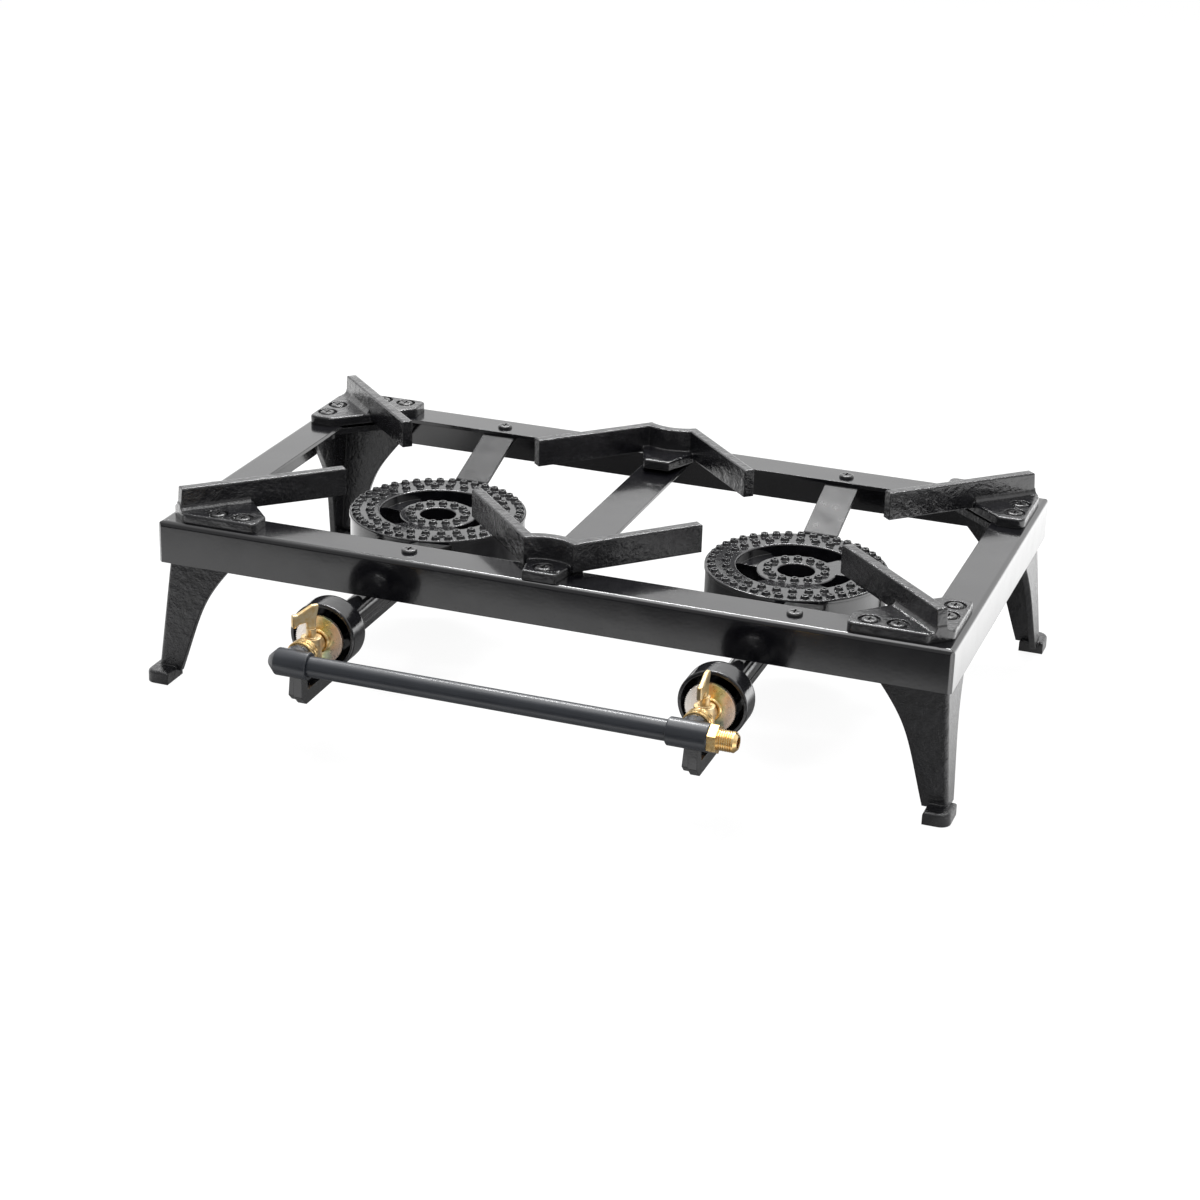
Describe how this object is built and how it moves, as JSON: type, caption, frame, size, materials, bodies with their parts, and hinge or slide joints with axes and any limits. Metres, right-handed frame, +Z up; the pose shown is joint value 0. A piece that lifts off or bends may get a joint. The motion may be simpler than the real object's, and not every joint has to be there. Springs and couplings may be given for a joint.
{
  "type": "stock pot range",
  "caption": "Low twin burner stock pot range: angle steel frame on cast legs, cast pan supports, ring burners, gas manifold with quarter-turn valves.",
  "frame": {"origin": "centre of the bounding box on the floor", "axes": "+X along the frame to the right seen from the valves, +Y from the valves to the rear, +Z up"},
  "size_m": [0.7194, 0.5314, 0.175],
  "materials": {
    "black_cast_iron": "gloss enamel over a cast skin",
    "painted_steel": "gloss black paint",
    "black_pipe": "satin black paint",
    "black_steel": "black",
    "brass": "satin",
    "zinc_passivated": "yellow passivated zinc"
  },
  "bodies": {
    "range": {"centre_strap": "painted_steel", "centre_support_nuts": "black_steel", "centre_support_screws": "black_steel", "front_centre_pan_support": "black_cast_iron", "front_left_leg": "black_cast_iron", "front_left_pan_support": "black_cast_iron", "front_rail": "painted_steel", "front_right_leg": "black_cast_iron", "front_right_pan_support": "black_cast_iron", "gas_inlet_fitting": "brass", "left_burner": "black_cast_iron", "left_burner_strap": "painted_steel", "left_injector": "brass", "left_manifold_tee": "black_pipe", "left_rail": "painted_steel", "left_valve_body": "brass", "left_valve_ring_nut": "brass", "manifold_pipe": "black_pipe", "pan_support_screws": "black_steel", "rear_centre_pan_support": "black_cast_iron", "rear_left_leg": "black_cast_iron", "rear_left_pan_support": "black_cast_iron", "rear_rail": "painted_steel", "rear_right_leg": "black_cast_iron", "rear_right_pan_support": "black_cast_iron", "right_burner": "black_cast_iron", "right_burner_strap": "painted_steel", "right_injector": "brass", "right_manifold_tee": "black_pipe", "right_rail": "painted_steel", "right_valve_body": "brass", "right_valve_ring_nut": "brass", "strap_nuts": "black_steel", "strap_screws": "black_steel"},
    "left_handle": {"left_valve_handle": "brass"},
    "left_shutter_carrier": {"left_shutter_hub": "brass"},
    "left_shutter": {"left_shutter_disc": "zinc_passivated"},
    "right_handle": {"right_valve_handle": "brass"},
    "right_shutter_carrier": {"right_shutter_hub": "brass"},
    "right_shutter": {"right_shutter_disc": "zinc_passivated"}
  },
  "joints": [
    {"name": "left_gas_valve", "type": "hinge", "parent": "range", "child": "left_handle", "pos_m": [-0.1621, -0.2168, 0.11], "axis": [0, 0, 1], "range_deg": [-50, 40]},
    {"name": "left_shutter_travel", "type": "slide", "parent": "range", "child": "left_shutter_carrier", "axis": [0, 1, 0], "range_m": [-0.00075, 0.00225]},
    {"name": "left_shutter_spin", "type": "hinge", "parent": "left_shutter_carrier", "child": "left_shutter", "pos_m": [-0.1621, -0.2008, 0.0975], "axis": [0, 1, 0], "range_deg": [-180, 540]},
    {"name": "right_gas_valve", "type": "hinge", "parent": "range", "child": "right_handle", "pos_m": [0.1751, -0.2168, 0.11], "axis": [0, 0, 1], "range_deg": [-90, 0]},
    {"name": "right_shutter_travel", "type": "slide", "parent": "range", "child": "right_shutter_carrier", "axis": [0, 1, 0], "range_m": [-0.00075, 0.00225]},
    {"name": "right_shutter_spin", "type": "hinge", "parent": "right_shutter_carrier", "child": "right_shutter", "pos_m": [0.1751, -0.2008, 0.0975], "axis": [0, 1, 0], "range_deg": [-180, 540]}
  ],
  "couplings": [
    {"joint": "left_shutter_travel", "follows": "left_shutter_spin", "m_per_rad": 0.00023873},
    {"joint": "right_shutter_travel", "follows": "right_shutter_spin", "m_per_rad": 0.00023873}
  ]
}
